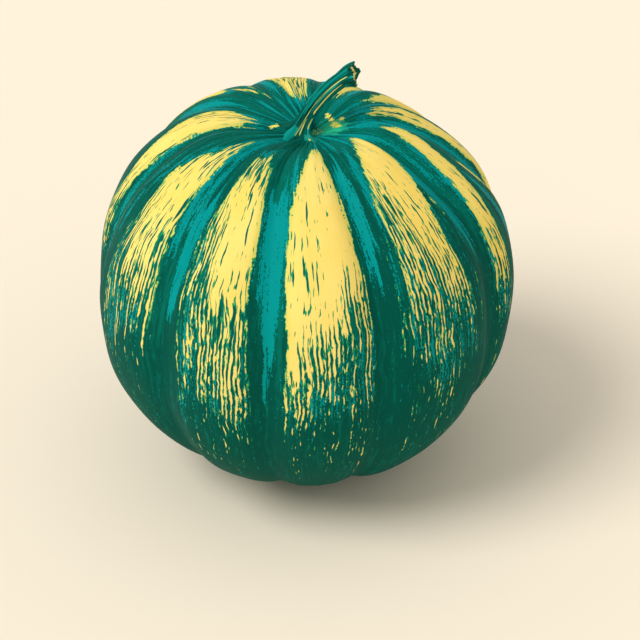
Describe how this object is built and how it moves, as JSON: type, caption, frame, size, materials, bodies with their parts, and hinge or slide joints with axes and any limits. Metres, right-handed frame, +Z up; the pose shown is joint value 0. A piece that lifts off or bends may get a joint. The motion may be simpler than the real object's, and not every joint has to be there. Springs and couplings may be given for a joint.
{
  "type": "whole cantaloupe melon",
  "caption": "Whole ribbed cantaloupe melon with green valleys, yellow ribs and its bent stalk, standing on its blossom end.",
  "frame": {"origin": "middle of the flat spot that the melon stands on, at its blossom end", "axes": "+Z up from the blossom end to the stalk, -Y the side that faces the camera, +X the side that the stalk leans to"},
  "size_m": [0.1592, 0.1622, 0.1692],
  "materials": {
    "rind": "waxy melon rind, yellow ribs and blue-green valleys",
    "stalk": "fibrous green stem with a pale cut face"
  },
  "bodies": {
    "root": {"fruit": "rind", "stalk": "stalk"}
  },
  "joints": []
}
